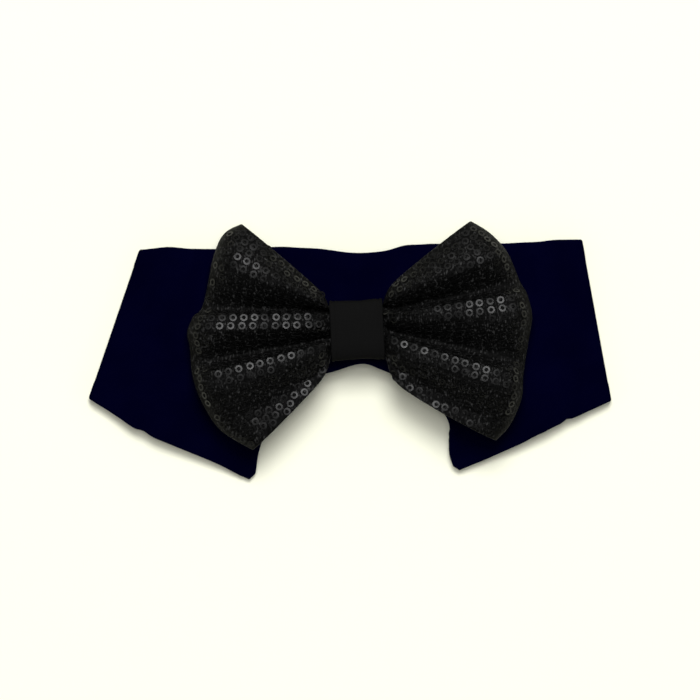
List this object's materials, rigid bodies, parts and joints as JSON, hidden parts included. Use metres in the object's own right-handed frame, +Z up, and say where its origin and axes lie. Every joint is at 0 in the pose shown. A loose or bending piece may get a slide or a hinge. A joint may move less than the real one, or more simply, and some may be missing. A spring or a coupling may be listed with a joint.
{
  "type": "pet bow tie collar",
  "caption": "Shirt-style cloth collar band for a dog or cat with a puffed sequin bow tie at its front, laid flat with its ends closed behind.",
  "frame": {"origin": "on the table that the collar lies on, straight under the middle of the bow's knot, in the flat underside of the lower tail", "axes": "+X along the bow to the right in the picture, +Y to the collar's top edge, which is up in the picture, +Z up from the table towards the camera"},
  "size_m": [0.2094, 0.1041, 0.0348],
  "materials": {
    "collar_cloth": "matte navy woven cloth",
    "sequin_cloth": "black knit sewn with small glossy ring sequins",
    "knot_cloth": "matte plain black cloth",
    "closure_tape": "woven hook-and-loop tape"
  },
  "bodies": {
    "root": {"collar": "collar_cloth", "closure_tape": "closure_tape", "bow": "sequin_cloth", "knot": "knot_cloth"}
  },
  "joints": []
}
